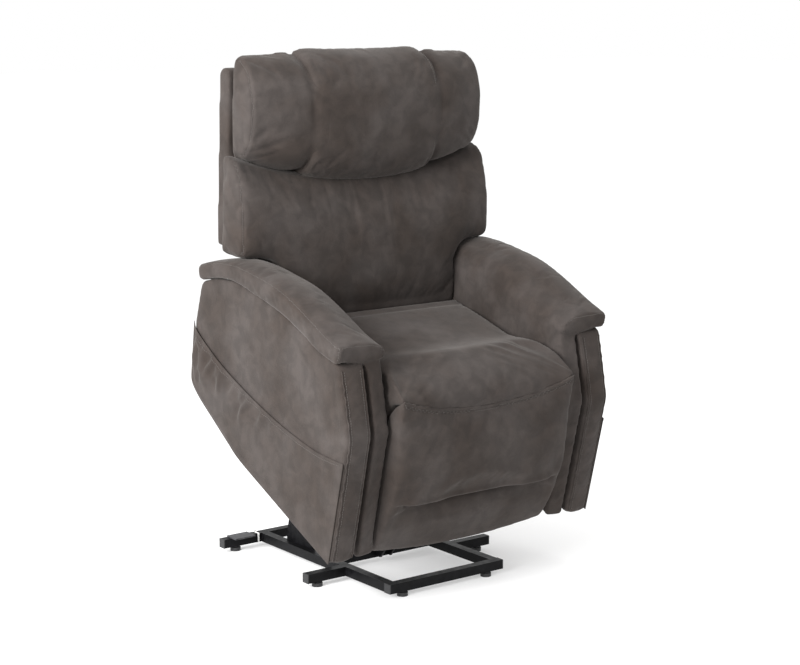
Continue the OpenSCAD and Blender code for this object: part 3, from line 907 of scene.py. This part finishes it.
def cap_rings(section):
    """Rings of (x, share of the thickness) carried along the arm's line."""
    line = smooth_line(CAP_LINE, 6)
    thick = [v.x for v in smooth_line([(t, 0) for t in CAP_THICK], 6)]
    rings = []
    for i, at in enumerate(line):
        along = (line[min(i + 1, len(line) - 1)] - line[max(i - 1, 0)]).normalized()
        if i < 6:
            along = Vector((0.98, -0.2))
        up = Vector((-along.y, along.x))
        rings.append([Vector((x, at.x + up.x * n * thick[i], at.y + up.y * n * thick[i]))
                      for x, n in section])
    return rings


def cap_solid():
    """The arm's padded top: a side band, a crowned top, and an inner side that rolls down."""
    section = [(0.291, -0.02), (0.290, 0.10), (0.291, 0.50), (0.296, 0.76), (0.309, 0.94),
               (0.332, 1.06), (0.362, 1.11), (0.396, 1.09), (0.422, 1.03), (0.4355, 0.99),
               (0.4380, 0.93), (0.4395, 0.50), (0.4375, 0.07), (0.433, -0.01), (0.400, -0.04),
               (0.330, -0.20)]
    return loft(cap_rings(section))


def inner_solid():
    """The arm's inner side with the rounded strip down its front."""
    outline = [Vector(p) for p in ARM_OUTLINE]
    return slab(0.2905, 0.341, rounded_outline(outline, 0.012, 3), 0.0, 10)


def build_arm_pad(side):
    parts = [cap_solid(), inner_solid()]
    if side < 0:
        parts = [mirrored(p) for p in parts]
    return start_pad("arm_pad_" + SIDE_NAMES[side], parts, CHAIR, 0.0068)


SIDE_NAMES = {1: "left", -1: "right"}


FRONT_LOW = (-0.391, 0.045)
FRONT_TOP = (-0.216, 0.529)


def arm_lines(side):
    """Seams of the arm's top and nose, as lines in the chair's frame."""
    top = [Vector((side * ring[0].x, ring[0].y, ring[0].z)) for ring in cap_rings([(0.4375, 0.98)])]
    first = top[0]
    nose_down = [first, Vector((side * 0.4375, -0.2225, 0.541))]
    nose_over = [first + Vector((side * (x - 0.4375), 0, lift))
                 for x, lift in [(0.4375, 0), (0.39, 0.003), (0.35, 0.002), (0.325, -0.002),
                                 (0.309, -0.010), (0.300, -0.024)]]
    return [top, nose_down, smooth_line(nose_over, 5)]


def front_edge(x, inset=0.0):
    """The front panel's edge at x, from the floor end past the knee to the nose."""
    corners = [(FRONT_LOW[0], FRONT_LOW[1] + 0.008), (-0.3575, 0.210), ARM_KNEE,
               (-0.268, 0.457), (FRONT_TOP[0], FRONT_TOP[1] - 0.006)]
    line = []
    for a, b in zip(corners, corners[1:]):
        for k in range(8):
            t = k / 8
            line.append(Vector((x, a[0] + (b[0] - a[0]) * t - inset, a[1] + (b[1] - a[1]) * t)))
    line.append(Vector((x, corners[-1][0] - inset, corners[-1][1])))
    return line


def build_arm_front(side):
    """The padded front of the arm, with its knee, full in the middle of its width."""
    rings = []
    for x in np.linspace(0.3515, 0.4268, 30):
        off = abs(x - 0.389) / 0.0378
        swell = 0.007 * (1 - off ** 2.5)
        round_low = 0.010 * off ** 4
        outline = [(FRONT_LOW[0] + 0.002 - swell, FRONT_LOW[1] + 0.004 + round_low),
                   (-0.3565 - swell, 0.215), (ARM_KNEE[0] + 0.001 - swell, ARM_KNEE[1]),
                   (-0.267 - swell, 0.457), (-0.214 - swell * 0.5, FRONT_TOP[1]),
                   (-0.185, 0.514), (-0.286, 0.372), (-0.352, 0.045 + round_low),
                   (-0.372, 0.0435 + round_low)]
        rings.append([Vector((x, p.x, p.y)) for p in rounded_outline(outline, 0.012, 3)])
    part = loft(rings)
    if side < 0:
        part = mirrored(part)
    return start_pad("arm_front_" + SIDE_NAMES[side], [part], CHAIR, 0.0055)


def build_front_welts(side):
    """Welt cords along both edges of the arm's front panel, and a row of stitches by each."""
    tree = tree_of(arm_fronts[side])
    cords = []
    stitches = []
    for x, inner in ((0.4232, 0.4150), (0.3545, 0.3627)):
        laid = on_surface(tree, [CHAIR @ p for p in even_points(front_edge(side * x, 0.02), 0.004)])
        cords.append([p + n * 0.0004 for p, n in laid])
        stitches.append(on_surface(tree, [CHAIR @ p for p in
                                          even_points(front_edge(side * inner, 0.02), 0.004)]))
    welts = tube_mesh("arm_front_welts_" + SIDE_NAMES[side], cords, 0.0019)
    welts.data.materials.append(SUEDE)
    sewn = stitch_mesh("arm_front_stitches_" + SIDE_NAMES[side], stitches)
    sewn.data.materials.append(THREAD)
    for obj in (welts, sewn):
        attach(obj, "chair")


def build_arm_side(side):
    """The outside of the arm: a thin padded board."""
    outline = rounded_outline([Vector(p) for p in ARM_OUTLINE], 0.014, 3)
    part = slab(0.405, 0.4265, outline, 0.0, 6)
    if side < 0:
        part = mirrored(part)
    return start_pad("arm_side_" + SIDE_NAMES[side], [part], CHAIR, 0.0065)


POCKET_TOP = [(-0.3365, 0.319), (-0.240, 0.283), (-0.153, 0.263), (-0.061, 0.248), (0.036, 0.239),
              (0.139, 0.234), (0.245, 0.235), (0.361, 0.249), (0.396, 0.266)]
POCKET_BOTTOM = [(-0.3895, 0.047), (-0.240, 0.046), (-0.090, 0.045), (0.056, 0.045), (0.120, 0.054),
                 (0.200, 0.068), (0.290, 0.084), (0.337, 0.101), (0.351, 0.122)]
# Soft gathers that run down from the hem: place along it, length down, height, lean to the rear
GATHERS = [(0.96, 0.90, 0.0090, -0.02), (0.915, 0.95, 0.0100, 0.00), (0.87, 0.92, 0.0105, 0.02),
           (0.82, 0.80, 0.0095, 0.03), (0.775, 0.46, 0.0070, 0.05), (0.73, 0.62, 0.0075, 0.05),
           (0.66, 0.40, 0.0060, 0.05), (0.60, 0.30, 0.0050, 0.05), (0.55, 0.58, 0.0085, 0.06),
           (0.48, 0.40, 0.0055, 0.04), (0.40, 0.30, 0.0034, 0.02), (0.25, 0.22, 0.0016, 0.00)]


def build_pocket(side):
    """The outside pocket: one sheet sewn on at three sides, standing off at its hem."""
    across = 110
    down = 56
    top = even_points(smooth_line(POCKET_TOP, 8), 0.004)
    bottom = even_points(smooth_line(POCKET_BOTTOM, 8), 0.004)
    verts = []
    for j in range(down + 1):
        t = j / down
        for i in range(across + 1):
            s = i / across
            a = top[int(s * (len(top) - 1))]
            b = bottom[int(s * (len(bottom) - 1))]
            if i < across:
                fa = s * (len(top) - 1) % 1
                fb = s * (len(bottom) - 1) % 1
                a = a.lerp(top[min(int(s * (len(top) - 1)) + 1, len(top) - 1)], fa)
                b = b.lerp(bottom[min(int(s * (len(bottom) - 1)) + 1, len(bottom) - 1)], fb)
            at = a.lerp(b, t)
            sides = ease(min(s, 1 - s) / 0.05)
            low = ease((1 - t) / 0.10)
            loose = 0.25 + 0.75 * ease((s - 0.15) / 0.6)
            out = 0.0012 + loose * (0.0036 + 0.0035 * math.sin(math.pi * min(t * 1.15, 1))) * sides * low
            for place, length, height, lean in GATHERS:
                if t < length:
                    fade = ease(t / 0.14) * ease((length - t) / (0.6 * length))
                    off = (s - place - lean * t * 2 + 0.012 * math.sin(7 * t + 40 * place)) / 0.014
                    out += height * fade * sides * (math.exp(-off * off)
                                                    - 0.45 * math.exp(-(off - 2.0) ** 2))
            hem = 0.0012 * math.exp(-((t - 0.012) / 0.012) ** 2)
            verts.append(CHAIR @ Vector((side * (0.4262 + min(max(out + hem, 0.0010), 0.0150)),
                                         at.x, at.y)))
    faces = []
    for j in range(down):
        for i in range(across):
            a = j * (across + 1) + i
            faces.append((a, a + 1, a + across + 2, a + across + 1))
    mesh = bpy.data.meshes.new("side_pocket_cover_" + SIDE_NAMES[side])
    mesh.from_pydata(verts, [], faces)
    obj = bpy.data.objects.new(mesh.name, mesh)
    bpy.context.scene.collection.objects.link(obj)
    thick = obj.modifiers.new("thickness", "SOLIDIFY")
    thick.thickness = 0.0016
    thick.offset = 0
    bake_modifiers(obj)
    fix_normals(obj.data)
    subdivide(obj)
    shade_smooth(obj)
    obj.data.materials.append(SUEDE)
    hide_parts("side_pocket_" + SIDE_NAMES[side])
    height = 0.205
    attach(obj, "chair")
    tree = tree_of(obj)
    hem_line = [CHAIR @ Vector((side * 0.44, p.x, p.y - 0.011)) for p in top[3:-3]]
    stitches = stitch_mesh(obj.name + "_stitches", [on_surface(tree, hem_line)])
    stitches.data.materials.append(THREAD)
    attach(stitches, "chair")


# ---- Back boards --------------------------------------------------------------------------
def build_outside_back():
    upper = slab(-0.369, 0.369, rounded_outline(
        [Vector(p) for p in [(0.0, 0.004), (0.0, 0.462), (-0.010, 0.474), (-0.040, 0.476),
                             (-0.051, 0.466), (-0.051, 0.002)]], 0.012, 4), 0.0, 40)
    lower = slab(-0.280, 0.280, rounded_outline(
        [Vector(p) for p in [(-0.002, 0.030), (-0.002, -0.142), (-0.010, -0.150), (-0.048, -0.150),
                             (-0.048, 0.030)]], 0.010, 4), 0.0, 30)
    return start_pad("outside_back_cover", [upper, lower], BACK, 0.0075)


def build_rear_panel():
    """The lower rear panel, open below in the middle where the lift rod passes."""
    def strip(x0, x1, low, high):
        outline = [(0.350 + (low - 0.112) * 0.282, low), (0.350 + (high - 0.112) * 0.282, high),
                   (0.336 + (high - 0.112) * 0.282, high), (0.336 + (low - 0.112) * 0.282, low)]
        return slab(x0, x1, rounded_outline([Vector(p) for p in outline], 0.005, 3), 0.0, 20)
    parts = [strip(-0.283, 0.283, 0.168, 0.243), strip(0.021, 0.283, 0.112, 0.172)]
    parts.append(mirrored(parts[1]))
    return start_pad("rear_panel_cover", parts, CHAIR, 0.0055, 2)


# ---- Build --------------------------------------------------------------------------------
pillow = build_head_pillow()
band = build_head_band()
lumbar = build_lumbar()
seat = build_seat()
foot = build_footrest()
arm_pads = {side: build_arm_pad(side) for side in (1, -1)}
arm_fronts = {side: build_arm_front(side) for side in (1, -1)}
arm_sides = {side: build_arm_side(side) for side in (1, -1)}
outside_back = build_outside_back()
rear_panel = build_rear_panel()

pillow_seams = [pillow_end_seam(1), pillow_end_seam(-1)]
wing_seams = [wing_seam(1), wing_seam(-1)]


jobs = []
held = held_where(pillow, BACK, lambda x, y, z: -y < 0.090)
jobs.append((pillow, np.maximum(held, seam_pins(pillow, pillow_seams, BACK)), 4.0, 0.009, 0.012))
held = held_where(band, BACK, lambda x, y, z: (-y < 0.090) | (np.abs(x) > BAND_HALF - 0.008))
jobs.append((band, held, 3.0, 0.010, 0.008))
held = held_where(lumbar, BACK, lambda x, y, z: (-y < 0.096) | (z < -0.150)
                  | (z > 0.182 + 0.070 * (np.abs(x) / WING_HALF) ** 2.2))
jobs.append((lumbar, np.maximum(held, seam_pins(lumbar, wing_seams, BACK)), 4.0, 0.014, 0.014))
held = held_where(seat, CHAIR, lambda x, y, z: (z < 0.350) | (y > 0.150)
                  | ((y < -0.300) & (z < 0.425 + 0.050 * (np.abs(x) / SEAT_HALF) ** 2.4)))
jobs.append((seat, held, 3.5, 0.004, 0.012))
held = held_where(foot, CHAIR, lambda x, y, z: (y > -0.370 + 0.26 * np.maximum(z - 0.19, 0))
                  | (z > 0.400 + 0.050 * (np.abs(x) / SEAT_HALF) ** 2.4) | (z < 0.165))
held = np.maximum(held, seam_pins(foot, [crease_line()], CHAIR, 0.012))
jobs.append((foot, held, 3.0, 0.006, 0.009))
for side, pad in arm_pads.items():
    held = held_where(pad, CHAIR, lambda x, y, z: (np.abs(x) > 0.335) & (z < 0.49))
    held = np.maximum(held, seam_pins(pad, arm_lines(side)[:2], CHAIR))
    jobs.append((pad, held, 3.0, 0.010, 0.007))
for side, pad in arm_fronts.items():
    held = held_where(pad, CHAIR, lambda x, y, z: np.abs(np.abs(x) - 0.389) > 0.033)
    jobs.append((pad, held, 3.0, 0.008, 0.005))
inflate_together(jobs)

finish_pad(pillow, "backrest", ["head_pillow"], pillow_seams, pillow_seams, BACK)
finish_pad(band, "backrest", ["head_band"], (), [band_edge(BAND_HALF - 0.012)], BACK)
finish_pad(lumbar, "backrest", ["lumbar_cushion"], wing_seams, wing_seams, BACK)
finish_pad(outside_back, "backrest", ["outside_back"], place=BACK)
cut_channel(seat)
finish_pad(seat, "chair", ["seat_cushion"])
finish_pad(rear_panel, "chair", ["rear_panel"])
foot_blend = ("chair", "footrest", CHAIR @ Vector((0, -0.32, 0.440)),
              CHAIR @ Vector((0, -0.345, 0.350)))
tuck_crease(foot)
roll_stitch = [roll_stitch_line()]
finish_pad(foot, "footrest", ["footrest_pad", "footrest_lower_pad"], roll_stitch,
           roll_stitch, blend=foot_blend)
for side, name in SIDE_NAMES.items():
    lines = arm_lines(side)
    finish_pad(arm_pads[side], "chair", ["arm_cap_" + name, "arm_inner_panel_" + name],
               lines, lines, depth=0.0022)
    finish_pad(arm_fronts[side], "chair", ["arm_front_panel_" + name])
    build_front_welts(side)
    finish_pad(arm_sides[side], "chair", ["arm_outer_panel_" + name])
    build_pocket(side)


# ---- Studio -------------------------------------------------------------------------------
def add_floor():
    """A pale floor that glows a little, so that it runs into the white background."""
    mesh = bpy.data.meshes.new("floor")
    size = 30
    mesh.from_pydata([(-size, -size, 0), (size, -size, 0), (size, size, 0), (-size, size, 0)], [],
                     [(0, 1, 2, 3)])
    floor = bpy.data.objects.new("floor", mesh)
    bpy.context.scene.collection.objects.link(floor)
    material, shader = new_material("floor", (0.60, 0.60, 0.60), 0.9)
    shader.inputs["Emission Color"].default_value = (1, 1, 1, 1)
    shader.inputs["Emission Strength"].default_value = 0.41
    shader.inputs["Specular IOR Level"].default_value = 0.0
    mesh.materials.append(material)


def add_area_light(name, place, aim, size, power):
    data = bpy.data.lights.new(name, "AREA")
    data.shape = "RECTANGLE"
    data.size = size[0]
    data.size_y = size[1]
    data.energy = power
    light = bpy.data.objects.new(name, data)
    light.location = place
    light.rotation_euler = (Vector(place) - Vector(aim)).to_track_quat("Z", "Y").to_euler()
    bpy.context.scene.collection.objects.link(light)


def add_studio():
    add_floor()
    middle = (0, 0, 0.7)
    add_area_light("key", (-4.2, -0.9, 2.5), middle, (2.4, 2.4), 450)
    add_area_light("top", (0.2, 0.1, 4.4), middle, (3.0, 3.0), 55)
    world = bpy.data.worlds.new("studio")
    world.use_nodes = True
    background = world.node_tree.nodes["Background"]
    background.inputs["Color"].default_value = (1, 1, 1, 1)
    background.inputs["Strength"].default_value = 1.0
    bpy.context.scene.world = world
    bpy.context.scene.view_settings.view_transform = "Standard"


add_studio()
